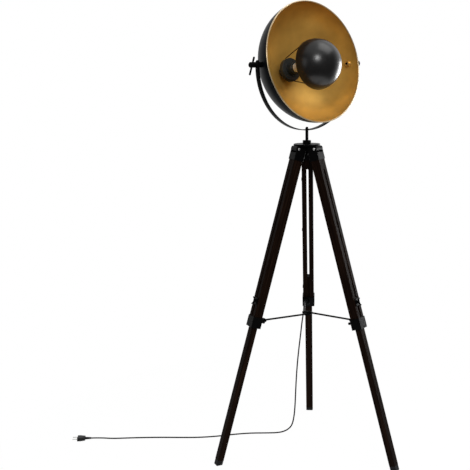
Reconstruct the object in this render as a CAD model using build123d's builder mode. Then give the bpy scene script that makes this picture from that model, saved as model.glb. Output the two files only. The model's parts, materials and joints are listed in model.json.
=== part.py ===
"""Tripod floor lamp with a tilting dish shade.

Millimetres, +Z up. The origin is on the floor, under the stem. The back leg points along +Y.
"""

import os
from math import cos, pi, radians, sin, sqrt, tan

from build123d import *

os.makedirs("parts", exist_ok=True)

# Fits shared by every piece
running_gap = 0.05
face_gap = 0.3
contour_gap = 0.05

# Tripod legs: place and section
leg_angles = {"back": 0, "left": -120, "right": 120}
leg_lean = 16.43
hinge_radius = 41.7
hinge_height = 1086
hinge_offset = 10
leg_width = 39.5
leg_depth = 32
rail_gap = 7.5
rail_edge = 1.5
rail_top = -15
slot_top = -76
clamp_middle = -610.5
clamp_height = 38
clamp_wall = 2.5

# Sliding lower legs
lower_width = 26
lower_depth = 21.5
lower_top = -511
lower_edge = 1.2
slide_gap = 0.3
guide_thickness = 4
foot_height = 20.2
foot_corner = 2.5
foot_edge = 1.5

# Wing screws that lock the lower legs
wing_height = -538
wing_shank = 6
wing_shank_depth = 12
wing_plate_width = 27
wing_plate_height = 24
wing_plate_thickness = 2
wing_plate_corner = 4.5
wing_hub = 11
wing_hub_length = 7
wing_reach = 12.5
wing_rise = 9
wing_thickness = 2.5

# Leg brackets and hinge bolts
bracket_wall = 2
bracket_top = 7
bracket_bottom = -38
bracket_open_above = -13
hinge_bolt = 6
hinge_head = 9
hinge_head_rise = 3.2
hinge_head_round = 2.4

# Head casting
tongue_round = 9.5
core_diameter = 46
plate_rise = 10
plate_thickness = 5
plate_diameter = 91
plate_edge = 1
boss_diameter = 29
boss_height = 12

# Stem and swivel
stem_diameter = 10.5
stem_bore = 5
stem_drop = 24
stem_rise = 34
spigot_diameter = 8
spigot_into_nut = 4
spigot_end_room = 0.5
cap_nut_base = 12
cap_nut_tip = 7
cap_nut_height = 8.5
cap_nut_round = 2

# Yoke and shade pose
shade_heading = 43.8
shade_tilt = 12
yoke_room = 8.5
yoke_drop = 6
strap_thickness = 3
strap_width = 19
strap_past_pivot = 15
strap_corner = 9

# Shade bowl, in its own frame: X along the pivots, Z out of the mouth
rim_radius = 205
bead_radius = 2
bowl_wall = 1.2
bowl_depth = 160.5
rim_ahead = 38.5
nipple_diameter = 10

# Pivots
pivot_shaft = 8
spacer_diameter = 18
pivot_nut_diameter = 19
pivot_nut_length = 11
pivot_shaft_past_nut = 2
handle_hub_diameter = 18
handle_hub_length = 30
handle_hub_edge = 2
handle_bar_out = 20
handle_bar_diameter = 6.5
handle_bar_length = 62
handle_bar_slide = 4
handle_bar_edge = 1.2
left_bar_lean = 23
right_bar_lean = 0

# Lamp fittings
holder_diameter = 42
holder_front = -57
holder_bore = 27
holder_bore_depth = 28
ring_diameter = 80
ring_front = -80
ring_height = 15
ring_wall = 2
bulb_cap_diameter = 26
bulb_cap_edge = 4.3
bulb_neck = 33
bulb_diameter = 60
bulb_middle = -4
bulb_shoulder_angle = 25
bulb_glass = 1
cap_radius = 84.6
cap_wall = 1.2
cap_middle = 45
cap_drop = 10.7
cap_rod = 3
cap_rod_start = 41.8
cap_rod_at_rim = 82
cap_rod_angles = (108, 228, 348)
gland_nut = 22
gland_nut_height = 7
gland_taper = 14
gland_taper_tip = 9
gland_length = 18

# Spreader
clamp_pin_inset = 29.2
clamp_pin_rise = 13.2
ear_thickness = 3
ear_round = 6
rod_diameter = 6.2
rod_eye_thickness = 6.4
rod_tip_round = 5
rod_tip_radius = 9
rod_aside = 11
rod_rivet = 8
rod_rivet_height = 3
clamp_pin = 5
pin_head = 9
pin_head_height = 3
tighten_drop = 10.5
tighten_shank_length = 9
tighten_knob = 9
tighten_knob_length = 8
tighten_knob_edge = 2
hub_height = 14
hub_corner = 3

# Lead along the back leg, then the free cord and its plug
cord_diameter = 5
lead_aside = -18.5
lead_start = -12
lead_end = -640
relief_length = 26
relief_wide = 10
relief_narrow = 7
clip_heights = (-130, -330, -570)
clip_length = 8
clip_wall = 1.3
cord_lift = 0.1
cord_exit_run = 28
cord_bend_share = 0.45
drop_points = [
    (-26, 242, 400),
    (-31.5, 232, 349),
    (-37.5, 217.5, 299),
    (-42.5, 201.5, 248),
    (-46, 186, 197),
    (-48.2, 172, 146),
    (-50, 161, 96),
    (-53.5, 153, 50),
    (-62, 144, 14),
]
floor_points = [
    (-84, 124),
    (-112, 104),
    (-158, 98.5),
    (-219, 93),
    (-283, 75.5),
    (-345, 52.5),
    (-410, 38.5),
    (-476, 33.5),
    (-543, 30),
    (-608, 23.5),
    (-672, 14.5),
    (-728, 5.5),
]
plug_entry = (-768, -0.5)
plug_face = (-806, -5.5)
plug_thickness = 13.6
plug_neck_width = 24
plug_width = 35
plug_corner = 6
plug_relief_length = 22
plug_relief_wide = 10
plug_relief_narrow = 7
plug_flare = 18
plug_body = 10
plug_pin = 4
plug_pin_length = 19
plug_pin_spacing = 18.6

# Values that follow from the sizes above
lean_sin = sin(radians(leg_lean))
lean_cos = cos(radians(leg_lean))
outer_face = leg_depth / 2 - hinge_offset
inner_face = -leg_depth / 2 - hinge_offset
cheek_face = leg_width / 2 + bracket_wall
foot_start = foot_height - hinge_height / lean_cos
clamp_bottom = clamp_middle - clamp_height / 2
clamp_top = clamp_middle + clamp_height / 2
rail_bottom = clamp_bottom + clamp_wall
lower_face = lower_depth / 2 - hinge_offset
channel_width = lower_width + 2 * slide_gap
channel_depth = lower_depth + 2 * slide_gap
plate_bottom = hinge_height + plate_rise
plate_top = plate_bottom + plate_thickness
boss_top = plate_top + boss_height
core_bottom = hinge_height - tongue_round
tongue_thickness = leg_width - 2 * face_gap
stem_bottom = hinge_height - stem_drop
strap_bottom = boss_top + stem_rise
strap_top = strap_bottom + strap_thickness
yoke_radius = rim_radius + yoke_room
pivot_height = strap_bottom + strap_thickness / 2 + yoke_radius + yoke_drop
ear_reach = clamp_pin_inset + hinge_offset
pin_along = clamp_middle + clamp_pin_rise
spreader_height = hinge_height + pin_along * lean_cos - ear_reach * lean_sin
bowl_mid = rim_radius - bead_radius


def leg_plane(angle):
    """Frame of one leg: X across, Y outwards, Z up along the leg, origin on its hinge bolt."""
    turn = radians(angle)
    return Plane(
        origin=(hinge_radius * sin(turn), hinge_radius * cos(turn), hinge_height),
        x_dir=(cos(turn), -sin(turn), 0),
        z_dir=(-lean_sin * sin(turn), -lean_sin * cos(turn), lean_cos),
    )


def spreader_plane(angle):
    """Level frame at the spreader: X across the leg, Y outwards, origin on the lamp's axis."""
    turn = radians(angle)
    return Plane(
        origin=(0, 0, spreader_height),
        x_dir=(cos(turn), -sin(turn), 0),
        z_dir=(0, 0, 1),
    )


heading = radians(shade_heading)
tilt = radians(shade_tilt)
yoke_plane = Plane(
    origin=(0, 0, pivot_height), x_dir=(cos(heading), sin(heading), 0), z_dir=(0, 0, 1)
)
shade_plane = Plane(
    origin=(0, 0, pivot_height),
    x_dir=(cos(heading), sin(heading), 0),
    z_dir=(cos(tilt) * sin(heading), -cos(tilt) * cos(heading), sin(tilt)),
)


def save(part, name, plane=Plane.XY):
    """Place a finished piece in its frame, label it and write it."""
    placed = part.moved(plane.location)
    placed.label = name
    export_step(placed, f"parts/{name}.step")


# Wooden rails: two per leg, grooved inside for the lower leg
def make_rail(side):
    rail_width = (leg_width - rail_gap) / 2
    middle = side * (leg_width + rail_gap) / 4
    with BuildPart() as rail:
        with BuildSketch(Plane.XY.offset(rail_bottom)):
            with Locations((middle, -hinge_offset)):
                RectangleRounded(rail_width, leg_depth, rail_edge)
        extrude(amount=rail_top - rail_bottom)
        with BuildSketch(Plane.XY.offset(rail_bottom)):
            with Locations((0, -hinge_offset)):
                Rectangle(channel_width, channel_depth)
        extrude(amount=slot_top - rail_bottom, mode=Mode.SUBTRACT)
    return rail.part


# Wooden block that joins the rails above the slot, hollowed to a round end
with BuildPart() as top_block:
    with BuildSketch(Plane.XY.offset(slot_top)):
        with Locations((0, -hinge_offset)):
            Rectangle(rail_gap, leg_depth)
    extrude(amount=rail_top - slot_top)
    with BuildSketch(Plane.XZ.offset(hinge_offset)):
        with Locations((0, slot_top)):
            Circle(rail_gap / 2 - contour_gap)
    extrude(amount=leg_depth, both=True, mode=Mode.SUBTRACT)

# Steel bracket over the leg's top: a sleeve, with two bare cheeks beside the head's tongue
with BuildPart() as bracket:
    with BuildSketch(Plane.XY.offset(bracket_bottom)):
        with Locations((0, -hinge_offset)):
            RectangleRounded(2 * cheek_face, leg_depth + 2 * bracket_wall, bracket_wall)
            Rectangle(leg_width, leg_depth, mode=Mode.SUBTRACT)
    extrude(amount=bracket_top - bracket_bottom)
    with BuildSketch(Plane.XY.offset(bracket_open_above)):
        with Locations((0, -hinge_offset)):
            Rectangle(leg_width, leg_depth + 4 * bracket_wall)
    extrude(amount=bracket_top - bracket_open_above, mode=Mode.SUBTRACT)
    with BuildSketch(Plane.YZ):
        Circle(hinge_bolt / 2 + running_gap)
    extrude(amount=2 * cheek_face, both=True, mode=Mode.SUBTRACT)

# Lower leg with a blind hole for its wing screw
with BuildPart() as lower_leg:
    with BuildSketch(Plane.XY.offset(foot_start)):
        with Locations((0, -hinge_offset)):
            RectangleRounded(lower_width, lower_depth, lower_edge)
    extrude(amount=lower_top - foot_start)
    with BuildSketch(Plane.XZ.offset(-lower_face)):
        with Locations((0, wing_height)):
            Circle(wing_shank / 2 + running_gap)
    extrude(amount=wing_shank_depth, mode=Mode.SUBTRACT)

# Steel guide on the lower leg's top end
with BuildPart() as guide:
    with BuildSketch(Plane.XY.offset(lower_top)):
        with Locations((0, -hinge_offset)):
            RectangleRounded(lower_width, lower_depth, lower_edge)
    extrude(amount=guide_thickness)

# Rubber foot, cut level with the floor
floor_in_leg = Plane(origin=(0, 0, -hinge_height / lean_cos), z_dir=(0, lean_sin, lean_cos))
with BuildPart() as foot:
    with BuildSketch(Plane.XY.offset(foot_start)):
        with Locations((0, -hinge_offset)):
            RectangleRounded(lower_width, lower_depth, foot_corner)
    extrude(amount=-(hinge_height / lean_cos + foot_start) - lower_depth)
    split(bisect_by=floor_in_leg, keep=Keep.TOP)
    sole = foot.faces().sort_by(Axis((0, 0, 0), (0, lean_sin, lean_cos)))[0]
    chamfer(sole.edges(), foot_edge)

# Steel collar round the rails' lower ends, with two ears for a spreader rod
ear_start = rod_eye_thickness / 2 + face_gap
with BuildPart() as clamp:
    with BuildSketch(Plane.XY.offset(clamp_bottom)):
        with Locations((0, -hinge_offset)):
            RectangleRounded(
                leg_width + 2 * clamp_wall, leg_depth + 2 * clamp_wall, clamp_wall
            )
    extrude(amount=clamp_height)
    with BuildSketch(Plane.XY.offset(rail_bottom)):
        with Locations((0, -hinge_offset)):
            Rectangle(leg_width, leg_depth)
    extrude(amount=clamp_height, mode=Mode.SUBTRACT)
    with BuildSketch(Plane.XY.offset(clamp_bottom)):
        with Locations((0, -hinge_offset)):
            Rectangle(channel_width, channel_depth)
    extrude(amount=clamp_height, mode=Mode.SUBTRACT)
    for side in (-1, 1):
        ear_middle = side * (ear_start + ear_thickness / 2) - rod_aside
        with BuildSketch(Plane.YZ.offset(ear_middle)):
            with Locations((-ear_reach, pin_along)):
                Circle(ear_round)
            with Locations(((inner_face - clamp_wall - ear_reach) / 2, pin_along)):
                Rectangle(ear_reach + inner_face - clamp_wall, 2 * ear_round)
            with Locations((-ear_reach, pin_along)):
                Circle(clamp_pin / 2 + running_gap, mode=Mode.SUBTRACT)
        extrude(amount=ear_thickness / 2, both=True)

# Pin through the ears, and the collar's own tightening knob below it
tighten_along = pin_along - tighten_drop
with BuildPart() as clamp_bolts:
    ears_half = ear_start + ear_thickness
    with BuildSketch(Plane.YZ.offset(-rod_aside)):
        with Locations((-ear_reach, pin_along)):
            Circle(clamp_pin / 2)
    extrude(amount=ears_half, both=True)
    for side in (-1, 1):
        with BuildSketch(Plane.YZ.offset(side * ears_half - rod_aside)):
            with Locations((-ear_reach, pin_along)):
                Circle(pin_head / 2)
        extrude(amount=side * pin_head_height)
    with BuildSketch(Plane.XZ.offset(-(inner_face - clamp_wall))):
        with Locations((0, tighten_along)):
            RegularPolygon(pin_head / 2, 6)
    extrude(amount=pin_head_height)
    shank_start = inner_face - clamp_wall - pin_head_height
    with BuildSketch(Plane.XZ.offset(-shank_start)):
        with Locations((0, tighten_along)):
            Circle(clamp_pin / 2)
    extrude(amount=tighten_shank_length)
    with BuildSketch(Plane.XZ.offset(tighten_shank_length - shank_start)):
        with Locations((0, tighten_along)):
            Circle(tighten_knob / 2)
    extrude(amount=tighten_knob_length)
    fillet(clamp_bolts.faces().sort_by(Axis.Y)[0].edges(), tighten_knob_edge)

# Wing screw: shank, hub and two wings, and the plate that it presses on the rails
plate_face = outer_face + face_gap
hub_face = plate_face + wing_plate_thickness + face_gap
with BuildPart() as wing_plate:
    with BuildSketch(Plane.XZ.offset(-plate_face)):
        with Locations((0, wing_height)):
            RectangleRounded(wing_plate_width, wing_plate_height, wing_plate_corner)
            Circle(wing_shank / 2 + running_gap, mode=Mode.SUBTRACT)
    extrude(amount=-wing_plate_thickness)
with BuildPart() as wing_screw:
    with BuildSketch(Plane.XZ.offset(-(lower_face - wing_shank_depth + face_gap))):
        with Locations((0, wing_height)):
            Circle(wing_shank / 2)
    extrude(amount=-(hub_face - lower_face + wing_shank_depth - face_gap))
    with BuildSketch(Plane.XZ.offset(-hub_face)):
        with Locations((0, wing_height)):
            Circle(wing_hub / 2)
    extrude(amount=-wing_hub_length)
    wing_root = hub_face + wing_hub_length / 3
    with BuildSketch(Plane.YZ):
        for side in (-1, 1):
            with BuildLine():
                Polyline(
                    (wing_root, wing_height),
                    (wing_root, wing_height + side * wing_hub / 2),
                    (wing_root + wing_rise, wing_height + side * wing_reach),
                    (wing_root + wing_rise, wing_height + side * wing_hub / 2),
                    (hub_face + wing_hub_length, wing_height),
                    close=True,
                )
            make_face()
    extrude(amount=wing_thickness / 2, both=True)

for leg, angle in leg_angles.items():
    plane = leg_plane(angle)
    save(make_rail(-1), f"leg_{leg}_rail_a", plane)
    save(make_rail(1), f"leg_{leg}_rail_b", plane)
    save(top_block.part, f"leg_{leg}_top_block", plane)
    save(bracket.part, f"leg_{leg}_bracket", plane)
    save(clamp.part, f"leg_{leg}_clamp", plane)
    save(clamp_bolts.part, f"leg_{leg}_clamp_bolts", plane)
    save(lower_leg.part, f"lower_leg_{leg}", plane)
    save(guide.part, f"lower_leg_{leg}_guide", plane)
    save(foot.part, f"foot_{leg}", plane)
    save(wing_plate.part, f"wing_plate_{leg}", plane)
    save(wing_screw.part, f"wing_screw_{leg}", plane)

# Head casting: core with three tongues, a round plate and the boss for the stem
with BuildPart() as head:
    with BuildSketch(Plane.XY.offset(core_bottom)):
        Circle(core_diameter / 2)
    extrude(amount=plate_bottom - core_bottom)
    for angle in leg_angles.values():
        across = Plane(
            origin=(0, 0, hinge_height),
            x_dir=(sin(radians(angle)), cos(radians(angle)), 0),
            z_dir=(cos(radians(angle)), -sin(radians(angle)), 0),
        )
        with BuildSketch(across):
            with Locations((hinge_radius, 0)):
                Circle(tongue_round)
            with Locations((hinge_radius / 2, 0)):
                Rectangle(hinge_radius, 2 * tongue_round)
        extrude(amount=tongue_thickness / 2, both=True)
    with BuildSketch(Plane.XY.offset(plate_bottom)):
        Circle(plate_diameter)
    extrude(amount=2 * tongue_round, mode=Mode.SUBTRACT)
    with BuildSketch(Plane.XY.offset(plate_bottom)):
        Circle(plate_diameter / 2)
    extrude(amount=plate_thickness)
    chamfer(head.faces().sort_by(Axis.Z)[-1].edges(), plate_edge)
    with BuildSketch(Plane.XY.offset(plate_top)):
        Circle(boss_diameter / 2)
    extrude(amount=boss_height)
    chamfer(head.faces().sort_by(Axis.Z)[-1].edges(), plate_edge)
    for angle in leg_angles.values():
        with BuildSketch(Plane(leg_plane(angle).origin, x_dir=(0, 0, 1), z_dir=leg_plane(angle).x_dir)):
            Circle(hinge_bolt / 2 + running_gap)
        extrude(amount=tongue_thickness, both=True, mode=Mode.SUBTRACT)
    with BuildSketch(Plane.XY.offset(core_bottom)):
        Circle(stem_diameter / 2 + running_gap)
    extrude(amount=boss_top - core_bottom, mode=Mode.SUBTRACT)
save(head.part, "head_casting")

# Hinge bolts: plain shanks with a domed head and a domed nut, one per leg
bolt_reach = cheek_face + face_gap
with BuildPart() as bolt:
    with BuildSketch(Plane.YZ):
        Circle(hinge_bolt / 2)
    extrude(amount=bolt_reach, both=True)
    for side in (-1, 1):
        with BuildSketch(Plane.YZ.offset(side * bolt_reach)):
            Circle(hinge_head / 2)
        extrude(amount=side * hinge_head_rise)
    for face in bolt.faces().filter_by(GeomType.PLANE).group_by(Axis.X)[0]:
        fillet(face.edges(), hinge_head_round)
    for face in bolt.faces().filter_by(GeomType.PLANE).group_by(Axis.X)[-1]:
        fillet(face.edges(), hinge_head_round)
hinge_bolts = Compound([bolt.part.moved(leg_plane(angle).location) for angle in leg_angles.values()])
save(hinge_bolts, "hinge_bolts")

# Stem: hollow, with a shoulder for the yoke and a spigot through it
with BuildPart() as stem:
    with BuildSketch(Plane.XY.offset(stem_bottom)):
        Circle(stem_diameter / 2)
    extrude(amount=strap_bottom - stem_bottom)
    with BuildSketch(Plane.XY.offset(strap_bottom)):
        Circle(spigot_diameter / 2)
    extrude(amount=strap_thickness + spigot_into_nut)
    with BuildSketch(Plane.XY.offset(stem_bottom)):
        Circle(stem_bore / 2)
    extrude(amount=strap_top + cap_nut_height - stem_bottom, mode=Mode.SUBTRACT)
save(stem.part, "stem")

# Tapered cap nut that holds the yoke down on the stem
with BuildPart() as cap_nut:
    with BuildSketch(Plane.XY.offset(strap_top + face_gap)):
        Circle(cap_nut_base / 2)
    with BuildSketch(Plane.XY.offset(strap_top + cap_nut_height)):
        Circle(cap_nut_tip / 2)
    loft()
    fillet(cap_nut.faces().sort_by(Axis.Z)[-1].edges(), cap_nut_round)
    with BuildSketch(Plane.XY.offset(strap_top)):
        Circle(spigot_diameter / 2 + running_gap)
    extrude(amount=spigot_into_nut + spigot_end_room, mode=Mode.SUBTRACT)
save(cap_nut.part, "swivel_cap_nut")

# Yoke: one steel strap bent into a half circle below the pivots and straight past them
strap_out = yoke_radius + strap_thickness / 2
strap_in = yoke_radius - strap_thickness / 2
with BuildPart() as yoke:
    with BuildSketch(Plane.XZ):
        with BuildLine():
            for radius in (strap_in, strap_out):
                Line((-radius, strap_past_pivot), (-radius, -yoke_drop))
                ThreePointArc((-radius, -yoke_drop), (0, -yoke_drop - radius), (radius, -yoke_drop))
                Line((radius, -yoke_drop), (radius, strap_past_pivot))
            for side in (-1, 1):
                Line((side * strap_in, strap_past_pivot), (side * strap_out, strap_past_pivot))
        make_face()
    extrude(amount=strap_width / 2, both=True)
    fillet(yoke.edges().filter_by(Axis.X).group_by(Axis.Z)[-1], strap_corner)
    with BuildSketch(Plane.YZ):
        Circle(pivot_shaft / 2 + running_gap)
    extrude(amount=strap_out, both=True, mode=Mode.SUBTRACT)
    with BuildSketch(Plane.XY.offset(-yoke_drop)):
        Circle(spigot_diameter / 2 + running_gap)
    extrude(amount=-strap_out, mode=Mode.SUBTRACT)
save(yoke.part, "yoke", yoke_plane)


# Bowl: the wall is the space between two half ellipses
def bowl_solid(grow):
    """Filled bowl, its surface moved outwards from the middle of the wall by grow."""
    with BuildPart() as filled:
        with BuildSketch(Plane.XZ):
            with Locations((0, rim_ahead)):
                Ellipse(bowl_mid + grow, bowl_depth - bowl_wall / 2 + grow)
            with Locations((bowl_mid, rim_ahead - bowl_depth)):
                Rectangle(2 * bowl_mid, 2 * bowl_depth, mode=Mode.INTERSECT)
        revolve(axis=Axis.Z)
    return filled.part


with BuildPart() as bowl:
    with BuildSketch(Plane.XZ):
        with Locations((0, rim_ahead)):
            Ellipse(bowl_mid + bowl_wall / 2, bowl_depth)
            Ellipse(bowl_mid - bowl_wall / 2, bowl_depth - bowl_wall, mode=Mode.SUBTRACT)
        with Locations((nipple_diameter / 2 + running_gap + rim_radius, rim_ahead - bowl_depth)):
            Rectangle(2 * rim_radius, 2 * bowl_depth, mode=Mode.INTERSECT)
        with Locations((bowl_mid, rim_ahead)):
            Circle(bead_radius)
    revolve(axis=Axis.Z)
    with BuildSketch(Plane.YZ):
        Circle(pivot_shaft / 2 + running_gap)
    extrude(amount=rim_radius, both=True, mode=Mode.SUBTRACT)
save(bowl.part, "shade_bowl", shade_plane)

# Spacers between bowl and yoke, and brass nuts inside the bowl
bowl_at_pivot = bowl_mid * sqrt(1 - (rim_ahead / bowl_depth) ** 2)
with BuildPart() as spacers:
    for side in (-1, 1):
        with BuildSketch(Plane.YZ.offset(side * (strap_in - face_gap))):
            Circle(spacer_diameter / 2)
            Circle(pivot_shaft / 2 + running_gap, mode=Mode.SUBTRACT)
        extrude(amount=-side * (strap_in - bowl_at_pivot + spacer_diameter))
    add(bowl_solid(bowl_wall / 2 + contour_gap), mode=Mode.SUBTRACT)
save(spacers.part, "pivot_spacers", shade_plane)

nut_inner = bowl_at_pivot - pivot_nut_length
with BuildPart() as pivot_nuts:
    for side in (-1, 1):
        with BuildSketch(Plane.YZ.offset(side * nut_inner)):
            Circle(pivot_nut_diameter / 2)
            Circle(pivot_shaft / 2 + running_gap, mode=Mode.SUBTRACT)
        extrude(amount=side * 2 * pivot_nut_length)
    add(bowl_solid(-bowl_wall / 2 - contour_gap), mode=Mode.INTERSECT)
save(pivot_nuts.part, "pivot_nuts", shade_plane)

# T-handled pivot screws
handles = ((-1, "left", radians(left_bar_lean)), (1, "right", radians(right_bar_lean)))
for side, name, bar_lean in handles:
    hub_start = side * (strap_out + face_gap)
    with BuildPart() as handle:
        with BuildSketch(Plane.YZ.offset(side * (nut_inner - pivot_shaft_past_nut))):
            Circle(pivot_shaft / 2)
        extrude(amount=hub_start - side * (nut_inner - pivot_shaft_past_nut))
        with BuildSketch(Plane.YZ.offset(hub_start)):
            Circle(handle_hub_diameter / 2)
        extrude(amount=side * handle_hub_length)
        chamfer(handle.faces().sort_by(Axis.X)[-1 if side > 0 else 0].edges(), handle_hub_edge)
        bar_up = Vector(0, -sin(bar_lean), cos(bar_lean))
        bar_middle = Vector(hub_start + side * handle_bar_out, 0, 0) - bar_up * handle_bar_slide
        with BuildSketch(Plane(bar_middle, x_dir=(1, 0, 0), z_dir=bar_up)):
            Circle(handle_bar_diameter / 2)
        extrude(amount=handle_bar_length / 2, both=True)
        bar_ends = handle.faces().filter_by(Axis((0, 0, 0), bar_up)).sort_by(Axis((0, 0, 0), bar_up))
        chamfer(bar_ends[0].edges() + bar_ends[-1].edges(), handle_bar_edge)
    save(handle.part, f"tilt_handle_{name}", yoke_plane)

# Lampholder with its nipple through the bowl
holder_share = sqrt(1 - (holder_diameter / 2 / bowl_mid) ** 2)
holder_back = rim_ahead - (bowl_depth - bowl_wall) * holder_share + face_gap
gland_face = rim_ahead - bowl_depth - face_gap
with BuildPart() as holder:
    with BuildSketch(Plane.XY.offset(holder_back)):
        Circle(holder_diameter / 2)
    extrude(amount=holder_front - holder_back)
    chamfer(holder.faces().sort_by(Axis.Z)[-1].edges(), bowl_wall)
    with BuildSketch(Plane.XY.offset(holder_front)):
        Circle(holder_bore / 2)
    extrude(amount=-holder_bore_depth, mode=Mode.SUBTRACT)
    with BuildSketch(Plane.XY.offset(holder_back)):
        Circle(nipple_diameter / 2)
    extrude(amount=gland_face - gland_nut_height - holder_back)
    with BuildSketch(Plane.XY.offset(holder_front - holder_bore_depth)):
        Circle(cord_diameter / 2)
    extrude(amount=-bowl_depth, mode=Mode.SUBTRACT)
save(holder.part, "lampholder", shade_plane)

# Ring cup round the lampholder that carries the glare cap's rods
with BuildPart() as ring:
    with BuildSketch(Plane.XY.offset(ring_front - ring_height)):
        Circle(ring_diameter / 2)
    extrude(amount=ring_height)
    fillet(ring.faces().sort_by(Axis.Z)[-1].edges(), ring_wall / 2)
    with BuildSketch(Plane.XY.offset(ring_front - ring_height)):
        Circle(ring_diameter / 2 - ring_wall)
    extrude(amount=ring_height - ring_wall, mode=Mode.SUBTRACT)
    with BuildSketch(Plane.XY.offset(ring_front)):
        Circle(holder_diameter / 2 + running_gap)
    extrude(amount=-ring_height, mode=Mode.SUBTRACT)
save(ring.part, "holder_ring", shade_plane)

# Bulb: screw cap in the holder and a hollow glass
with BuildPart() as bulb_cap:
    with BuildSketch(Plane.XY.offset(holder_front)):
        Circle(bulb_cap_diameter / 2)
    extrude(amount=-(holder_bore_depth - face_gap))
    chamfer(bulb_cap.faces().sort_by(Axis.Z)[0].edges(), bulb_cap_edge)
save(bulb_cap.part, "bulb_cap", shade_plane)

shoulder = radians(bulb_shoulder_angle)
with BuildPart() as bulb:
    for shrink, mode in ((0, Mode.ADD), (bulb_glass, Mode.SUBTRACT)):
        globe = bulb_diameter / 2 - shrink
        neck = bulb_neck / 2 - shrink
        with BuildSketch(Plane.XZ):
            with Locations((0, bulb_middle)):
                Circle(globe)
            with BuildLine():
                Polyline(
                    (0, bulb_middle),
                    (globe * cos(shoulder), bulb_middle - globe * sin(shoulder)),
                    (neck, holder_front + face_gap + shrink),
                    (0, holder_front + face_gap + shrink),
                    close=True,
                )
            make_face()
            with Locations((bulb_diameter, bulb_middle)):
                Rectangle(2 * bulb_diameter, 4 * bulb_diameter, mode=Mode.INTERSECT)
        revolve(axis=Axis.Z, mode=mode)
save(bulb.part, "bulb_glass", shade_plane)

# Glare cap: a dome a little deeper than half a ball
with BuildPart() as glare_cap:
    with BuildSketch(Plane.XZ):
        with Locations((0, cap_middle)):
            Circle(cap_radius)
            Circle(cap_radius - cap_wall, mode=Mode.SUBTRACT)
        with Locations((cap_radius, rim_ahead + cap_radius)):
            Rectangle(2 * cap_radius, 2 * cap_radius, mode=Mode.INTERSECT)
    revolve(axis=Axis.Z)
cap_plane = Plane(shade_plane.location * Location((0, -cap_drop, 0)))
save(glare_cap.part, "glare_cap", cap_plane)

# Three rods from the ring's side to the inside of the glare cap's edge
with BuildPart() as beyond_cap:
    with Locations((0, -cap_drop, rim_ahead)):
        Cylinder(2 * cap_radius, 2 * cap_radius, align=(Align.CENTER, Align.CENTER, Align.MIN))
    with Locations((0, -cap_drop, cap_middle)):
        Sphere(cap_radius - cap_wall - contour_gap, mode=Mode.SUBTRACT)
with BuildPart() as cap_rods:
    for angle in cap_rod_angles:
        aside = Vector(cos(radians(angle)), sin(radians(angle)), 0)
        start = aside * cap_rod_start + Vector(0, 0, ring_front - ring_height / 2)
        at_rim = aside * cap_rod_at_rim + Vector(0, -cap_drop, rim_ahead)
        along = at_rim - start
        with BuildSketch(Plane(start, z_dir=along)):
            Circle(cap_rod / 2)
        extrude(amount=along.length + cap_radius)
    add(beyond_cap.part, mode=Mode.SUBTRACT)
save(cap_rods.part, "cap_rods", shade_plane)

# Gland nut on the back of the bowl
with BuildPart() as gland:
    with BuildSketch(Plane.XY.offset(gland_face)):
        RegularPolygon(gland_nut / 2, 6)
    extrude(amount=-gland_nut_height)
    with BuildSketch(Plane.XY.offset(gland_face - gland_nut_height)):
        Circle(gland_taper / 2)
    with BuildSketch(Plane.XY.offset(gland_face - gland_nut_height - gland_length)):
        Circle(gland_taper_tip / 2)
    loft()
    with BuildSketch(Plane.XY.offset(gland_face)):
        Circle(nipple_diameter / 2 + running_gap)
    extrude(amount=-gland_nut_height - running_gap, mode=Mode.SUBTRACT)
    with BuildSketch(Plane.XY.offset(gland_face)):
        Circle(cord_diameter / 2)
    extrude(amount=-gland_nut_height - gland_length, mode=Mode.SUBTRACT)
save(gland.part, "rear_gland", shade_plane)

# Spreader: three straight rods hung in the collars' ears, each beside one face of the hub
pin_radius = hinge_radius - ear_reach * lean_cos - pin_along * lean_sin
rod_start = rod_tip_radius + rod_tip_round / 2
rod_stop = pin_radius - ear_round / 2
with BuildPart() as spreader_rod:
    with BuildSketch(Plane.YZ.offset(-rod_aside)):
        with Locations((pin_radius, 0)):
            Circle(ear_round)
    extrude(amount=rod_eye_thickness / 2, both=True)
    with BuildSketch(Plane.YZ.offset(-rod_aside)):
        with Locations((rod_tip_radius, 0)):
            Circle(rod_tip_round)
    extrude(amount=rod_diameter / 2, both=True)
    with BuildSketch(Plane.XZ.offset(-rod_start)):
        with Locations((-rod_aside, 0)):
            Circle(rod_diameter / 2)
    extrude(amount=rod_start - rod_stop)
    with BuildSketch(Plane.YZ.offset(-rod_aside - rod_diameter / 2)):
        with Locations((rod_tip_radius, 0)):
            Circle(rod_rivet / 2)
    extrude(amount=-rod_rivet_height)
    with BuildSketch(Plane.YZ.offset(-rod_aside)):
        with Locations((pin_radius, 0)):
            Circle(clamp_pin / 2 + running_gap)
    extrude(amount=rod_eye_thickness, both=True, mode=Mode.SUBTRACT)
for leg, angle in leg_angles.items():
    save(spreader_rod.part, f"spreader_rod_{leg}", spreader_plane(angle))

hub_reach = rod_aside - rod_diameter / 2 - face_gap
with BuildPart() as hub:
    with BuildSketch(Plane.XY.offset(spreader_height - hub_height / 2)):
        RegularPolygon(hub_reach, len(leg_angles), major_radius=False)
    extrude(amount=hub_height)
    fillet(hub.edges().filter_by(Axis.Z), hub_corner)
save(hub.part, "spreader_hub")

# Lead along the back of the back leg, from a relief on the bracket to below the collar
lead_out = outer_face + bracket_wall + clamp_wall + cord_diameter / 2
back_plane = leg_plane(leg_angles["back"])
with BuildPart() as lead:
    with BuildSketch(Plane.XY.offset(lead_end)):
        with Locations((lead_aside, lead_out)):
            Circle(cord_diameter / 2)
    extrude(amount=lead_start - lead_end)
save(lead.part, "leg_lead", back_plane)

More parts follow.
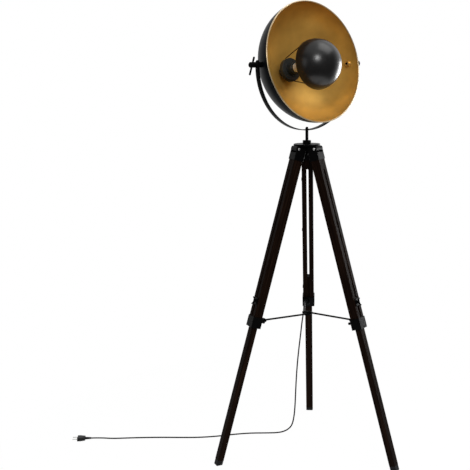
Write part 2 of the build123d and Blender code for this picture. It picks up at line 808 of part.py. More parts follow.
with BuildPart() as relief:
    with BuildSketch(Plane.XY.offset(lead_start)):
        with Locations((lead_aside, lead_out)):
            Circle(relief_wide / 2)
    with BuildSketch(Plane.XY.offset(lead_start - relief_length)):
        with Locations((lead_aside, lead_out)):
            Circle(relief_narrow / 2)
    loft()
    with Locations((lead_aside, lead_out, lead_start)):
        Sphere(relief_wide / 2)
    with BuildSketch(Plane.XY.offset(lead_start)):
        with Locations((lead_aside, lead_out)):
            Circle(cord_diameter / 2 + running_gap)
    extrude(amount=-relief_length, mode=Mode.SUBTRACT)
    with BuildSketch(Plane.XZ.offset(-(outer_face + bracket_wall))):
        with Locations((lead_aside, lead_start)):
            Rectangle(4 * relief_wide, 4 * relief_length)
    extrude(amount=relief_wide, mode=Mode.SUBTRACT)
save(relief.part, "lead_relief", back_plane)

with BuildPart() as clips:
    clip_width = cord_diameter + 2 * clip_wall
    clip_rise = lead_out + cord_diameter / 2 + clip_wall - outer_face
    for height in clip_heights:
        with BuildSketch(Plane.XY.offset(height)):
            with Locations((lead_aside, outer_face + clip_rise / 2)):
                Rectangle(clip_width, clip_rise)
            with Locations((lead_aside, lead_out)):
                Circle(cord_diameter / 2 + running_gap, mode=Mode.SUBTRACT)
        extrude(amount=clip_length)
save(clips.part, "lead_clips", back_plane)

# Free cord: straight runs joined by the largest arcs that fit, from the lead's end to the plug
floor_line = cord_diameter / 2 + cord_lift
plug_line = plug_thickness / 2 + cord_lift
cord_route = [
    back_plane.from_local_coords(Vector(lead_aside, lead_out, lead_end)),
    back_plane.from_local_coords(Vector(lead_aside, lead_out, lead_end - cord_exit_run)),
]
cord_route += [Vector(*point) for point in drop_points]
cord_route += [Vector(x, y, floor_line) for x, y in floor_points]
cord_route += [Vector(*plug_entry, plug_line), Vector(*plug_face, plug_line)]


def corner_radius(before, corner, after):
    """Radius whose arc takes the bend share of the shorter run beside a corner."""
    run_in = corner - before
    run_out = after - corner
    half_turn = radians(run_in.get_angle(run_out)) / 2
    return cord_bend_share * min(run_in.length, run_out.length) / tan(half_turn)


cord_radii = [corner_radius(*cord_route[i - 1 : i + 2]) for i in range(1, len(cord_route) - 1)]
with BuildPart() as cord:
    with BuildLine():
        cord_line = FilletPolyline(*cord_route, radius=cord_radii)
    with BuildSketch(Plane(cord_line @ 0, z_dir=cord_line % 0)):
        Circle(cord_diameter / 2)
    sweep()
cord_length = cord_line.length
cord_volume = pi * cord_diameter**2 / 4 * cord_length
print("cord radii", [round(radius) for radius in cord_radii])
print("cord length", round(cord_length))
print("cord volume over section times length", cord.part.volume / cord_volume)
save(cord.part, "cord")

# Flat two-pin plug, lying on its side where the cord ends
plug_way = (cord_route[-1] - cord_route[-2]).normalized()
plug_plane = Plane(origin=cord_route[-1], x_dir=(plug_way.Y, -plug_way.X, 0), z_dir=plug_way)
plug_end = plug_relief_length + plug_flare + plug_body
with BuildPart() as plug:
    with BuildSketch(Plane.XY):
        Circle(plug_relief_narrow / 2)
    with BuildSketch(Plane.XY.offset(plug_relief_length)):
        Circle(plug_relief_wide / 2)
    loft()
    with BuildSketch(Plane.XY.offset(plug_relief_length)):
        RectangleRounded(plug_neck_width, plug_thickness, plug_corner)
    with BuildSketch(Plane.XY.offset(plug_relief_length + plug_flare)):
        RectangleRounded(plug_width, plug_thickness, plug_corner)
    loft()
    with BuildSketch(Plane.XY.offset(plug_relief_length + plug_flare)):
        RectangleRounded(plug_width, plug_thickness, plug_corner)
    extrude(amount=plug_body)
save(plug.part, "plug", plug_plane)

with BuildPart() as plug_pins:
    with BuildSketch(Plane.XY.offset(plug_end)):
        with GridLocations(plug_pin_spacing, 0, 2, 1):
            Circle(plug_pin / 2)
    extrude(amount=plug_pin_length)
    fillet(plug_pins.faces().group_by(Axis.Z)[-1].edges(), plug_pin / 4)
save(plug_pins.part, "plug_pins", plug_plane)
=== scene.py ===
# %% [markdown]
# # A tripod floor lamp, dressed in Blender
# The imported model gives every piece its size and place. This lesson adds a camera, light and finishes,
# and remodels the pieces whose smooth curves or bent metal carry the lamp's look: the spun shade, the
# glare cap, the bulb, the strap yoke, the wing screws and the cord.

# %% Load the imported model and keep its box
import json
from math import atan2, cos, degrees, pi, radians, sin, sqrt

import bmesh
import bpy
from mathutils import Matrix, Vector


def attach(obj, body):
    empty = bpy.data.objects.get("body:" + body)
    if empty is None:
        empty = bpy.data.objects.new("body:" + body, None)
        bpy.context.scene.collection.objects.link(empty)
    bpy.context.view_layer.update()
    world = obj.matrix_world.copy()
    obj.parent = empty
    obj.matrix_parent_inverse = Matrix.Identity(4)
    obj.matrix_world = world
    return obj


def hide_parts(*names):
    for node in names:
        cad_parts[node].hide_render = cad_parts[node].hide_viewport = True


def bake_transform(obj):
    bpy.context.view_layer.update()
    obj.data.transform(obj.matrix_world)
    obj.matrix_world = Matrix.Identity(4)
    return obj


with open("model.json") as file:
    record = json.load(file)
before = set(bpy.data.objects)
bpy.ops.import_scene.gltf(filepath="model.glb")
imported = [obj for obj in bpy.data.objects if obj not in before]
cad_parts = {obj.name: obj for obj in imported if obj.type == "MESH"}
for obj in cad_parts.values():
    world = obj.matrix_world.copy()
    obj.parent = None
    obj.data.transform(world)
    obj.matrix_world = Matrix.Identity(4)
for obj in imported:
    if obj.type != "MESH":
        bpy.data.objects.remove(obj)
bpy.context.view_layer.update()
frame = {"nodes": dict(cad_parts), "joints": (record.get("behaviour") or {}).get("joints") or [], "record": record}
scene = bpy.context.scene
joints = {joint["name"]: joint for joint in frame["joints"]}
mm = 0.001

# %% [markdown]
# ## Camera
# A camera can be placed by eye or solved from the photograph. This one was solved, so that the render
# lies on the photograph: a long lens at about the height of the shade, turned slightly to its left and
# tipped down. Its own three directions, set side by side in a matrix, turn it.

# %% Stand the camera where the photograph was taken
camera_place = Vector((0.0875, -3.0199, 1.3569))
camera_yaw = radians(-6.42)
camera_pitch = radians(10.71)
camera_roll = radians(-0.92)
sensor_width_mm = 36
focal_length_mm = 67.36


def frame_at(place, across, along, out):
    """A place with three directions of its own, as a matrix."""
    return Matrix.Translation(place) @ Matrix((across, along, out)).transposed().to_4x4()


lens = bpy.data.cameras.new("studio_lens")
lens.sensor_width = sensor_width_mm
lens.lens = focal_length_mm
camera = bpy.data.objects.new("studio_camera", lens)
scene.collection.objects.link(camera)
forward = Vector(
    (sin(camera_yaw) * cos(camera_pitch), cos(camera_yaw) * cos(camera_pitch), -sin(camera_pitch))
)
level_right = Vector((cos(camera_yaw), -sin(camera_yaw), 0))
level_up = level_right.cross(forward)
right = level_right * cos(camera_roll) + level_up * sin(camera_roll)
camera.matrix_world = frame_at(camera_place, right, right.cross(forward), -forward)
scene.camera = camera
print("camera looks along", [round(part, 3) for part in forward])

# %% [markdown]
# ## Floor
# The lamp stands in a white studio. A floor that only reflects light would look grey, and no floor would
# lose the shadow, so a pale matt disc keeps a little of the soft shadow and glows nearly white wherever
# the camera, a reflection or a look through glass meets it.

# %% Floor disc
scene.view_settings.view_transform = "Standard"
floor_radius = 1.1
floor_sides = 96
floor_sink = 0.5 * mm
floor_bm = bmesh.new()
bmesh.ops.create_circle(floor_bm, cap_ends=True, segments=floor_sides, radius=floor_radius)
floor_mesh = bpy.data.meshes.new("studio_floor")
floor_bm.to_mesh(floor_mesh)
floor_bm.free()
studio_floor = bpy.data.objects.new("studio_floor", floor_mesh)
studio_floor.location.z = -floor_sink
scene.collection.objects.link(studio_floor)
print("floor radius", floor_radius, "m")

# %% Floor finish
white = (1, 1, 1, 1)
floor_grey = (0.92, 0.92, 0.92, 1)
glow_share = 0.97


def new_material(name):
    """A material, its node tree and its Principled shader."""
    material = bpy.data.materials.new(name)
    material.use_nodes = True
    return material, material.node_tree, material.node_tree.nodes["Principled BSDF"]


def set_inputs(node, values):
    """Set a node's inputs by name."""
    for socket, value in values.items():
        node.inputs[socket].default_value = value


def combine(tree, operation, first, second):
    """One value made of two, of which the second may be a plain number."""
    node = tree.nodes.new("ShaderNodeMath")
    node.operation = operation
    tree.links.new(first, node.inputs[0])
    if isinstance(second, bpy.types.NodeSocket):
        tree.links.new(second, node.inputs[1])
    else:
        node.inputs[1].default_value = second
    return node.outputs[0]


def mix_shaders(tree, share, first, second):
    """The first shader where share is zero, the second where it is one."""
    node = tree.nodes.new("ShaderNodeMixShader")
    for socket, source in zip(node.inputs, (share, first, second)):
        tree.links.new(source, socket)
    return node.outputs[0]


def seen_or_mirrored(tree):
    """One where the camera, a reflection or a look through glass meets the surface, else zero."""
    path = tree.nodes.new("ShaderNodeLightPath").outputs
    seen_or_gloss = combine(tree, "MAXIMUM", path["Is Camera Ray"], path["Is Glossy Ray"])
    return combine(tree, "MAXIMUM", seen_or_gloss, path["Is Transmission Ray"])


pale_floor, floor_tree, floor_shader = new_material("pale_floor")
set_inputs(floor_shader, {"Base Color": floor_grey, "Roughness": 0.9, "Specular IOR Level": 0.1})
white_glow = floor_tree.nodes.new("ShaderNodeEmission")
set_inputs(white_glow, {"Color": white})
floor_share = combine(floor_tree, "MULTIPLY", seen_or_mirrored(floor_tree), glow_share)
floor_look = mix_shaders(floor_tree, floor_share, floor_shader.outputs[0], white_glow.outputs[0])
floor_tree.links.new(floor_look, floor_tree.nodes["Material Output"].inputs[0])
studio_floor.data.materials.append(pale_floor)
print("floor glows by", glow_share)

# %% [markdown]
# ## Backdrop
# The camera sees pure white behind the lamp. An evenly white world would do that too, but it would also
# grey all the black paint. So reflections see a white sweep behind and a ceiling above, with a dim room
# in front, and the light that falls on matt surfaces comes mostly from above.

# %% World
world = bpy.data.worlds.new("studio_world")
scene.world = world
world.use_nodes = True
world_tree = world.node_tree
facing = world_tree.nodes.new("ShaderNodeTexCoord")
split = world_tree.nodes.new("ShaderNodeSeparateXYZ")
world_tree.links.new(facing.outputs["Generated"], split.inputs["Vector"])


def glow_along(axis, start, end, low, high):
    """A strength that grows from low to high along one direction of the room."""
    change = world_tree.nodes.new("ShaderNodeMapRange")
    set_inputs(change, {"From Min": start, "From Max": end, "To Min": low, "To Max": high})
    world_tree.links.new(split.outputs[axis], change.inputs["Value"])
    return change.outputs["Result"]


ambient = world_tree.nodes["Background"]
set_inputs(ambient, {"Color": white})
from_above = glow_along("Z", start=-0.3, end=0.8, low=0.12, high=0.85)
world_tree.links.new(from_above, ambient.inputs["Strength"])
backdrop = world_tree.nodes.new("ShaderNodeBackground")
set_inputs(backdrop, {"Color": white})
sweep = glow_along("Y", start=0.05, end=0.7, low=0.1, high=1)
ceiling = glow_along("Z", start=0.55, end=0.85, low=0.1, high=0.7)
camera_ray = world_tree.nodes.new("ShaderNodeLightPath").outputs["Is Camera Ray"]
sweep_or_ceiling = combine(world_tree, "MAXIMUM", sweep, ceiling)
white_room = combine(world_tree, "MAXIMUM", sweep_or_ceiling, camera_ray)
world_tree.links.new(white_room, backdrop.inputs["Strength"])
world_look = mix_shaders(
    world_tree, seen_or_mirrored(world_tree), ambient.outputs[0], backdrop.outputs[0]
)
world_tree.links.new(world_look, world_tree.nodes["World Output"].inputs[0])
print("world nodes", len(world_tree.nodes))

# %% [markdown]
# ## Lamps
# A small key lamp in front makes the spot on the domed cap, a weak fill lamp opens the left side, one
# lamp overhead gives the gold its bright lower band, and one beside the camera lights the shade's mouth
# without being mirrored. A white card behind draws the thin bright line at the cap's edge. Area lamps
# are used because their reflections have soft, broad shapes, as studio lamps have.

# %% Soft lamps


def soft_lamp(name, place, target, size, power):
    """A square soft lamp that faces a point."""
    light = bpy.data.lights.new(name, "AREA")
    light.size = size
    light.energy = power
    lamp = bpy.data.objects.new(name, light)
    scene.collection.objects.link(lamp)
    aim = Vector(target) - Vector(place)
    lamp.matrix_world = Matrix.Translation(place) @ aim.to_track_quat("-Z", "Y").to_matrix().to_4x4()
    return lamp


soft_lamp("key_lamp", (0.35, -2.8, 2.85), target=(0.0, 0.0, 1.25), size=0.8, power=40)
soft_lamp("fill_lamp", (-2.6, -1.6, 1.8), target=(0.0, 0.0, 1.0), size=1.6, power=7)
soft_lamp("overhead_lamp", (1.1, 0.0, 3.3), target=(0.1, 0.0, 1.3), size=1.7, power=19)
mouth_lamp = soft_lamp("mouth_lamp", (2.0, -2.1, 2.6), target=(0.0, 0.0, 1.3), size=1.8, power=32)
mouth_lamp.visible_glossy = False
white_card = soft_lamp("white_card", (1.9, 2.1, 0.85), target=(0.0, 0.0, 1.35), size=1.3, power=64)
white_card.visible_diffuse = False

# %% [markdown]
# ## Cord
# The real cord is a round black lead that leaves the back leg's collar, hangs to the floor and runs off
# to the left, to a flat plug. One smooth NURBS line through the same route points as the construction
# gives its centre, and a round bevel gives its thickness.

# %% Route of the free cord
cord_diameter = 5 * mm
fold = joints["leg_back_fold"]
slide = joints["lower_back_slide"]
back_hinge = Vector(fold["pos_m"])
leg_up = Vector(slide["axis"])
leg_across = -Vector(fold["axis"])
leg_out = leg_up.cross(leg_across)
lead_aside = -18.5 * mm
lead_out = 13 * mm
lead_end = -640 * mm
exit_run = 28 * mm
floor_line = 2.6 * mm
plug_line = 6.9 * mm


def on_back_leg(along):
    """A point on the lead's line, a distance up the leg from its hinge."""
    return back_hinge + leg_across * lead_aside + leg_out * lead_out + leg_up * along


drop_points = [
    (-26, 242, 400), (-31.5, 232, 349), (-37.5, 217.5, 299), (-42.5, 201.5, 248), (-46, 186, 197),
    (-48.2, 172, 146), (-50, 161, 96), (-53.5, 153, 50), (-62, 144, 14),
]
floor_points = [
    (-84, 124), (-112, 104), (-158, 98.5), (-219, 93), (-283, 75.5), (-345, 52.5), (-410, 38.5),
    (-476, 33.5), (-543, 30), (-608, 23.5), (-672, 14.5), (-728, 5.5),
]
plug_points = [(-768, -0.5), (-806, -5.5)]
cord_route = [on_back_leg(lead_end), on_back_leg(lead_end - exit_run)]
cord_route += [Vector(point) * mm for point in drop_points]
cord_route += [Vector((x * mm, y * mm, floor_line)) for x, y in floor_points]
cord_route += [Vector((x * mm, y * mm, plug_line)) for x, y in plug_points]
print("cord route", len(cord_route), "points")

# %% Cord tube


def nurbs_line(name, points, diameter):
    """A round line: one smooth open spline, as thick as its bevel depth times each point's radius."""
    curve = bpy.data.curves.new(name, "CURVE")
    curve.dimensions = "3D"
    spline = curve.splines.new("NURBS")
    spline.points.add(len(points) - 1)
    for knot, point in zip(spline.points, points):
        knot.co = (*point, 1)
        knot.radius = diameter / 2
    spline.order_u = 3
    spline.use_endpoint_u = True
    spline.resolution_u = 8
    curve.bevel_resolution = 4
    curve.use_fill_caps = True
    piece = bpy.data.objects.new(name, curve)
    scene.collection.objects.link(piece)
    return piece


def mesh_of(line, bevel_depth):
    """A mesh of a line: its centre points alone with no bevel, or the round tube."""
    line.data.bevel_depth = bevel_depth
    bpy.context.view_layer.update()
    evaluated = line.evaluated_get(bpy.context.evaluated_depsgraph_get())
    return bpy.data.meshes.new_from_object(evaluated)


cord_curve = nurbs_line("cord_curve", cord_route, cord_diameter)
line_mesh = mesh_of(cord_curve, bevel_depth=0)
free_cord = bpy.data.objects.new("free_cord", mesh_of(cord_curve, bevel_depth=1))
scene.collection.objects.link(free_cord)
free_cord.data.shade_smooth()
free_cord.data.materials.clear()
bpy.data.meshes.remove(line_mesh)
bpy.data.objects.remove(cord_curve)

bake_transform(free_cord)
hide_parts("cord")

# %% [markdown]
# ## Wood
# The legs are stained almost black, with a fine grain along their length. A picture of wood would show
# its seams on the sawn ends, so a noise pattern is stretched along the leg instead. It reads Object
# coordinates, which are the lamp's own metres, and each leg leans its own way, so each has its own wood.

# %% Stained wood, with the grain along each leg
leg_lean = atan2(sqrt(leg_up.x**2 + leg_up.y**2), leg_up.z)
grain_stretch = (260, 260, 7)
stain_stops = [
    (0.3, (0.0028, 0.0013, 0.0008)), (0.52, (0.0065, 0.003, 0.0018)), (0.72, (0.016, 0.0075, 0.0044)),
]


def mapped(tree, source, values):
    """Coordinates that are turned or stretched."""
    node = tree.nodes.new("ShaderNodeMapping")
    set_inputs(node, values)
    tree.links.new(source, node.inputs["Vector"])
    return node.outputs["Vector"]


def noise(tree, source, values):
    """A noise pattern over some coordinates."""
    node = tree.nodes.new("ShaderNodeTexNoise")
    set_inputs(node, values)
    tree.links.new(source, node.inputs["Vector"])
    return node.outputs["Fac"]


def colour_from(tree, shader, source, stops):
    """Let a pattern choose the shader's colour, from a list of (place, colour)."""
    node = tree.nodes.new("ShaderNodeValToRGB")
    elements = node.color_ramp.elements
    for element, (place, colour) in zip(elements, (stops[0], stops[-1])):
        element.position, element.color = place, (*colour, 1)
    for place, colour in stops[1:-1]:
        elements.new(place).color = (*colour, 1)
    tree.links.new(source, node.inputs["Fac"])
    tree.links.new(node.outputs["Color"], shader.inputs["Base Color"])


def roughness_between(tree, shader, source, low, high):
    """Let a pattern vary the shader's roughness between two values."""
    spread = tree.nodes.new("ShaderNodeMapRange")
    set_inputs(spread, {"To Min": low, "To Max": high})
    tree.links.new(source, spread.inputs["Value"])
    tree.links.new(spread.outputs["Result"], shader.inputs["Roughness"])


def bump_from(tree, shader, source, strength, depth):
    """Let a pattern raise the surface by a small depth, in metres."""
    bump = tree.nodes.new("ShaderNodeBump")
    set_inputs(bump, {"Strength": strength, "Distance": depth})
    tree.links.new(source, bump.inputs["Height"])
    tree.links.new(bump.outputs["Normal"], shader.inputs["Normal"])


def stained_wood(name, leg_turn):
    """Nearly black stained wood whose grain runs along a leg that stands at leg_turn round the stem."""
    material, tree, shader = new_material(name)
    where = tree.nodes.new("ShaderNodeTexCoord").outputs["Object"]
    swung = mapped(tree, where, {"Rotation": (0, 0, leg_turn)})
    upright = mapped(tree, swung, {"Rotation": (-leg_lean, 0, 0)})
    stretched = mapped(tree, upright, {"Scale": grain_stretch})
    grain = noise(tree, stretched, {"Scale": 1, "Detail": 6, "Roughness": 0.62, "Distortion": 0.4})
    colour_from(tree, shader, grain, stain_stops)
    set_inputs(shader, {"Specular IOR Level": 0.02})
    roughness_between(tree, shader, grain, low=0.42, high=0.62)
    bump_from(tree, shader, grain, strength=0.25, depth=0.4 * mm)
    return material


leg_turns = {"back": 0, "left": radians(-120), "right": radians(120)}
wood = {leg: stained_wood(f"stained_wood_{leg}", turn) for leg, turn in leg_turns.items()}
print("leg lean", round(degrees(leg_lean), 2), "degrees")

# %% [markdown]
# ## Paint, plating and plastic
# Almost everything else on this lamp is black, so the finishes differ in gloss and grain rather than in
# colour: satin enamel, gloss paint, rubber and plastic. The shade's inside is satin gold. One function
# makes them all: real coatings are never quite even, so a broad pattern varies colour and gloss a little
# and a fine one gives the grain.

# %% Painted, plated and moulded finishes
gloss_spread = 0.12
paint_grain = {"grain_scale": 300, "grain_depth": 0.03 * mm}


def coated(
    name, colour, roughness, shine, metallic=0.0, grain_scale=900, grain_depth=0.08 * mm, tint=0.15
):
    """A fine-grained finish: the colour and the gloss vary a little over the surface."""
    material, tree, shader = new_material(name)
    where = tree.nodes.new("ShaderNodeTexCoord").outputs["Object"]
    fine = noise(tree, where, {"Scale": grain_scale, "Detail": 3})
    broad = noise(tree, where, {"Scale": 14, "Detail": 4})
    darker = [part * (1 - tint) for part in colour]
    lighter = [min(1, part * (1 + tint)) for part in colour]
    colour_from(tree, shader, broad, [(0.3, darker), (0.7, lighter)])
    set_inputs(shader, {"Metallic": metallic, "Specular IOR Level": shine})
    roughness_between(
        tree, shader, broad, low=roughness * (1 - gloss_spread), high=roughness * (1 + gloss_spread)
    )
    bump_from(tree, shader, fine, strength=0.2, depth=grain_depth)
    return material


satin_black = coated("satin_black_enamel", (0.0012, 0.0012, 0.0013), roughness=0.42, shine=0.055)
gloss_black = coated(
    "gloss_black_paint", (0.0028, 0.0033, 0.0042), roughness=0.4, shine=0.05, **paint_grain
)
cap_black = coated(
    "glare_cap_paint", (0.005, 0.0046, 0.0046), roughness=0.3, shine=0.52, **paint_grain
)
satin_gold = coated(
    "satin_gold_paint", (0.57, 0.33, 0.072), roughness=0.38, shine=0.15, metallic=0.55,
    grain_depth=0.05 * mm,
)
rim_gold = coated("pale_rim", (0.62, 0.48, 0.29), roughness=0.3, shine=0.5, metallic=0.85)
bright_zinc = coated("bright_zinc", (0.8, 0.8, 0.78), roughness=0.3, shine=0.5, metallic=1.0)
brass = coated("polished_brass", (0.9, 0.68, 0.3), roughness=0.3, shine=0.5, metallic=0.9)
black_plastic = coated(
    "black_plastic", (0.004, 0.0042, 0.0042), roughness=0.45, shine=0.2, grain_scale=1400
)
# Black plastic lightened to grey for the lampholder and its ring: a painted sheen, not a greyer plastic.
lampholder_painted_sheen = coated(
    "lampholder_black_painted_sheen", (0.017, 0.019, 0.018), roughness=0.4, shine=0.35, grain_scale=1400
)
black_rubber = coated(
    "black_rubber", (0.005, 0.0048, 0.0048), roughness=0.7, shine=0.15, grain_scale=700,
    grain_depth=0.2 * mm,
)
cord_sheath = coated(
    "cord_sheath", (0.002, 0.002, 0.002), roughness=0.5, shine=0.03, grain_scale=1200
)
frosted_bulb = coated("frosted_bulb", (0.86, 0.84, 0.78), roughness=0.35, shine=0.5, tint=0.03)
free_cord.data.materials.append(cord_sheath)
print("finishes", len(bpy.data.materials))

# %% [markdown]
# ## Shade
# The shade is a spun metal bowl. It could be turned from an outline, but half of a squashed ball, cut at
# the rim and given a wall, is exactly that shape and needs no outline, so a ball is the start. A ring
# rolled round the rim closes the edge. The wall's two sides take two finishes: black outside and gold
# inside.

# %% The shade's own frame, from the tilt joint
straight_up = Vector((0, 0, 1))
tilt_joint = joints["shade_tilt"]
pivot = Vector(tilt_joint["pos_m"])
pivot_axis = Vector(tilt_joint["axis"])
shade_tilt = radians(12)
level_back = straight_up.cross(pivot_axis)
mouth = -level_back * cos(shade_tilt) + straight_up * sin(shade_tilt)
shade_frame = frame_at(pivot, pivot_axis, mouth.cross(pivot_axis), mouth)
yoke_frame = frame_at(pivot, pivot_axis, level_back, straight_up)
print("mouth points along", [round(part, 3) for part in mouth])

# %% Spun bowl
rim_radius = 205 * mm
bead_radius = 2 * mm
bead_sides = 16
bowl_wall = 1.2 * mm
bowl_depth = 160.5 * mm
rim_ahead = 38.5 * mm
round_sides = 144
ball_rings = 96


def finish_piece(name, bm, materials, place):
    """Turn a bmesh into a smooth piece in its place, with its finishes."""
    bm.transform(place)
    mesh = bpy.data.meshes.new(name)
    bm.to_mesh(mesh)
    bm.free()
    for material in materials:
        mesh.materials.append(material)
    mesh.shade_smooth()
    piece = bpy.data.objects.new(name, mesh)
    scene.collection.objects.link(piece)
    return piece


def half_ball(bm, across, deep, cut, flip):
    """One skin of a squashed ball below the plane z = cut, with its faces out or in."""
    ball = bmesh.ops.create_uvsphere(bm, u_segments=round_sides, v_segments=ball_rings, radius=1)
    bmesh.ops.scale(bm, vec=(across, across, deep), verts=ball["verts"])
    geometry = list(
        {part for vert in ball["verts"] for part in (vert, *vert.link_edges, *vert.link_faces)}
    )
    cut_result = bmesh.ops.bisect_plane(
        bm, geom=geometry, plane_co=(0, 0, cut), plane_no=(0, 0, 1), clear_outer=True
    )
    faces = [part for part in cut_result["geom"] if isinstance(part, bmesh.types.BMFace)]
    if flip:
        bmesh.ops.reverse_faces(bm, faces=faces)
    return faces


bowl_bm = bmesh.new()
bowl_mid = rim_radius - bead_radius
half_ball(bowl_bm, bowl_mid + bowl_wall / 2, bowl_depth, cut=0, flip=False)
for face in half_ball(bowl_bm, bowl_mid - bowl_wall / 2, bowl_depth - bowl_wall, cut=0, flip=True):
    face.material_index = 1
bead = bmesh.ops.create_circle(
    bowl_bm, segments=bead_sides, radius=bead_radius,
    matrix=Matrix.Translation((bowl_mid, 0, 0)) @ Matrix.Rotation(pi / 2, 4, "X"),
)
bead_edges = list({edge for vert in bead["verts"] for edge in vert.link_edges})
before_spin = set(bowl_bm.faces)
bmesh.ops.spin(
    bowl_bm, geom=bead["verts"] + bead_edges, cent=(0, 0, 0), axis=(0, 0, 1), angle=2 * pi,
    steps=round_sides, use_merge=True,
)
bead_faces = [face for face in bowl_bm.faces if face not in before_spin]
bmesh.ops.recalc_face_normals(bowl_bm, faces=bead_faces)
for face in bead_faces:
    face.material_index = 2
bmesh.ops.translate(bowl_bm, vec=(0, 0, rim_ahead), verts=bowl_bm.verts)
spun_bowl = finish_piece("spun_bowl", bowl_bm, [gloss_black, satin_gold, rim_gold], shade_frame)
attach(spun_bowl, "shade")
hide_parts("shade_bowl")
print("bowl faces", len(spun_bowl.data.polygons))

# %% [markdown]
# ## Glare cap
# The cap in front of the bulb is a spun dome a little deeper than half a ball, black outside and gold
# inside. It is made as the bowl was, from two cut balls, and a strip between their open edges gives the
# thin lip.

# %% Dome
cap_radius = 84.6 * mm
cap_wall = 1.2 * mm
cap_middle = 45 * mm
cap_drop = 10.7 * mm
dome_bm = bmesh.new()
cap_cut = cap_middle - rim_ahead
cap_inside = cap_radius - cap_wall
half_ball(dome_bm, cap_radius, cap_radius, cap_cut, flip=False)
for face in half_ball(dome_bm, cap_inside, cap_inside, cap_cut, flip=True):
    face.material_index = 1
open_edges = [edge for edge in dome_bm.edges if edge.is_boundary]
bmesh.ops.bridge_loops(dome_bm, edges=open_edges)
half_turn = Matrix.Rotation(pi, 3, "X")
bmesh.ops.rotate(dome_bm, cent=(0, 0, 0), matrix=half_turn, verts=dome_bm.verts)
bmesh.ops.translate(dome_bm, vec=(0, -cap_drop, cap_middle), verts=dome_bm.verts)
glare_dome = finish_piece("glare_dome", dome_bm, [cap_black, satin_gold], shade_frame)
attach(glare_dome, "shade")
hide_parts("glare_cap")
print("dome faces", len(glare_dome.data.polygons))

# %% [markdown]
# ## Bulb
# The bulb behind the cap is frosted: a ball that runs into a neck. A ball and a tube would leave a crease
# where they meet, so one short outline is turned round the axis and then rounded by subdivision.

# %% Frosted globe
bulb_steps = 32
weld = 0.01 * mm
bulb_outline = [
    (0, 26), (14, 22.3), (25, 11.5), (30, -4), (27.5, -18), (20.5, -37), (16.8, -50), (16.4, -56.5),
    (0, -56.6),
]


def round_cage(piece, levels):
    """Round a coarse cage by subdivision."""
    rounding = piece.modifiers.new("rounding", "SUBSURF")
    rounding.levels = rounding.render_levels = levels


bulb_bm = bmesh.new()
outline_verts = [bulb_bm.verts.new((radius * mm, 0, height * mm)) for radius, height in bulb_outline]
outline_edges = [bulb_bm.edges.new(pair) for pair in zip(outline_verts, outline_verts[1:])]
bmesh.ops.spin(
    bulb_bm, geom=outline_verts + outline_edges, cent=(0, 0, 0), axis=(0, 0, 1), angle=2 * pi,
    steps=bulb_steps, use_merge=True,
)
bmesh.ops.remove_doubles(bulb_bm, verts=bulb_bm.verts, dist=weld)
bmesh.ops.recalc_face_normals(bulb_bm, faces=bulb_bm.faces)
bulb = finish_piece("frosted_globe", bulb_bm, [frosted_bulb], shade_frame)
round_cage(bulb, levels=2)
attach(bulb, "shade")
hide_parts("bulb_glass")
print("bulb outline points", len(bulb_outline))

# %% [markdown]
# ## Yoke
# One flat steel strap, bent to a half circle, holds the shade. A curve with a flat bevel could make it,
# but its ends would be square. So its cross-section is spun half a turn, the two ends are drawn up past
# the pivots, and their corners and all long edges are rounded.

# %% Bent strap
yoke_radius = 213.5 * mm
yoke_drop = 6 * mm
strap_thickness = 3 * mm
strap_width = 19 * mm
strap_past_pivot = 15 * mm
strap_corner = 9 * mm
strap_edge = 0.4 * mm
strap_steps = 72
nearly = 0.1 * mm


def round_edges(bm, edges, radius, segments):
    """Round some edges."""
    bmesh.ops.bevel(
        bm, geom=edges, offset=radius, offset_type="OFFSET", segments=segments, profile=0.5,
        affect="EDGES", material=-1,
    )


def is_end(face):
    """Whether a face closes one end of the half circle."""
    return abs(face.calc_center_median().z) < nearly and abs(face.normal.z) > 0.9


def is_along_thickness(edge):
    """Whether an edge of an end face is one of its two short ones."""
    return abs(edge.verts[0].co.y - edge.verts[1].co.y) < nearly


strap_bm = bmesh.new()
section = bmesh.ops.create_grid(strap_bm, x_segments=1, y_segments=1, size=0.5)
bmesh.ops.scale(strap_bm, vec=(strap_thickness, strap_width, 1), verts=section["verts"])
bmesh.ops.translate(strap_bm, vec=(-yoke_radius, 0, 0), verts=section["verts"])
bmesh.ops.spin(
    strap_bm, geom=strap_bm.faces[:], cent=(0, 0, 0), axis=(0, -1, 0), angle=pi, steps=strap_steps
)
bmesh.ops.recalc_face_normals(strap_bm, faces=strap_bm.faces)
ends = [face for face in strap_bm.faces if is_end(face)]
drawn = bmesh.ops.extrude_discrete_faces(strap_bm, faces=ends)
end_verts = list({vert for face in drawn["faces"] for vert in face.verts})
bmesh.ops.translate(strap_bm, vec=(0, 0, strap_past_pivot + yoke_drop), verts=end_verts)
corners = [edge for face in drawn["faces"] for edge in face.edges if is_along_thickness(edge)]
round_edges(strap_bm, corners, strap_corner, segments=8)
sharp = [edge for edge in strap_bm.edges if edge.is_manifold and edge.calc_face_angle() > radians(60)]
round_edges(strap_bm, sharp, strap_edge, segments=2)
bmesh.ops.translate(strap_bm, vec=(0, 0, -yoke_drop), verts=strap_bm.verts)
bent_strap = finish_piece("bent_strap", strap_bm, [satin_black], yoke_frame)
bent_strap.data.set_sharp_from_angle(angle=radians(40))
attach(bent_strap, "yoke")
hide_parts("yoke")
print("strap faces", len(bent_strap.data.polygons))

# %% [markdown]
# ## Wing screws
# A cast wing screw locks each lower leg. A casting has no sharp edge, so a coarse cage is enough: a
# short twelve-sided hub, two of whose sides are drawn out and up into wings, and whose underside is
# drawn in to a shank. A Subdivision Surface modifier then rounds the whole cage.

# %% A wing screw on each leg
hub_sides = 12
hub_radius = 5.5 * mm
hub_length = 7 * mm
hub_out = 8.6 * mm
shank_radius = 3 * mm
shank_length = 19.5 * mm
wing_steps = [(3.6 * mm, 3.4 * mm, 1), (5.2 * mm, 3.6 * mm, 0.85)]


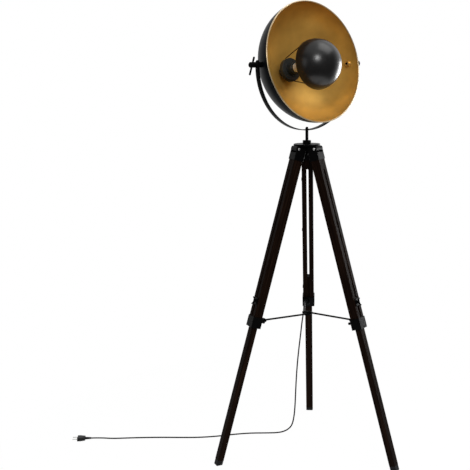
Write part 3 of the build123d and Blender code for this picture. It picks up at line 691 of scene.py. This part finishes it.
def draw_out(bm, face):
    """Extrude one face in place, and give the new face."""
    return bmesh.ops.extrude_discrete_faces(bm, faces=[face])["faces"][0]


def wing_screw_cage():
    """The coarse cage of a wing screw, with its axis along Z and its joint at the origin."""
    cage = bmesh.new()
    bmesh.ops.create_cone(
        cage, cap_ends=True, segments=hub_sides, radius1=hub_radius, radius2=hub_radius, depth=hub_length
    )
    half_side = Matrix.Rotation(pi / hub_sides, 3, "Z")
    bmesh.ops.rotate(cage, cent=(0, 0, 0), matrix=half_side, verts=cage.verts)
    bmesh.ops.translate(cage, vec=(0, 0, hub_out + hub_length / 2), verts=cage.verts)
    cage.normal_update()
    underside = min(cage.faces, key=lambda face: face.calc_center_median().z)
    for side in (-1, 1):
        wing = max(cage.faces, key=lambda face: face.normal.y * side)
        for reach, rise, share in wing_steps:
            wing = draw_out(cage, wing)
            bmesh.ops.translate(cage, vec=(0, side * reach, rise), verts=wing.verts)
            middle = Matrix.Translation(-wing.calc_center_median())
            bmesh.ops.scale(cage, vec=(1, 1, share), space=middle, verts=wing.verts)
        cage.normal_update()
    bmesh.ops.inset_individual(cage, faces=[underside], thickness=hub_radius - shank_radius)
    shank = draw_out(cage, underside)
    bmesh.ops.translate(cage, vec=(0, 0, -shank_length), verts=shank.verts)
    return cage


for leg in leg_turns:
    screw_joint = joints[f"wing_{leg}_turn"]
    screw_out = Vector(screw_joint["axis"])
    along_leg = Vector(joints[f"lower_{leg}_slide"]["axis"])
    screw_place = frame_at(screw_joint["pos_m"], along_leg.cross(screw_out), along_leg, screw_out)
    cast_screw = finish_piece(f"cast_wing_screw_{leg}", wing_screw_cage(), [satin_black], screw_place)
    round_cage(cast_screw, levels=2)
    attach(cast_screw, f"wing_{leg}")
    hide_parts(f"wing_screw_{leg}")
print("wing screw cage faces", len(cast_screw.data.polygons))

# %% [markdown]
# ## Dress the remaining pieces
# The other pieces keep their construction shapes, and each takes the finish of its real material. The
# record already says which material slot each piece has, so one table from slot to finish is enough. The
# lampholder and its ring are black plastic lightened to grey, a painted sheen, and each wooden piece takes its own
# leg's grain.

# %% Finishes for the construction pieces
finish_of_slot = {
    "black_steel": satin_black, "shade_paint": gloss_black, "zinc_steel": bright_zinc,
    "brass_nuts": brass, "black_plastic": black_plastic, "cord_sheath": cord_sheath,
    "rubber_feet": black_rubber, "bulb_glass": frosted_bulb,
}
# The lampholder pieces take the black plastic with its painted sheen.
finish_of_piece = {"holder_ring": lampholder_painted_sheen, "lampholder": lampholder_painted_sheen}
for entry in frame["record"]["subparts"]:
    node = frame["nodes"][entry["node"]]
    finish = finish_of_piece.get(entry["node"], finish_of_slot.get(entry["material_slot"]))
    for leg in wood:
        if entry["material_slot"] == "dark_wood" and leg in entry["node"]:
            finish = wood[leg]
    node.data.materials.clear()
    node.data.materials.append(finish)
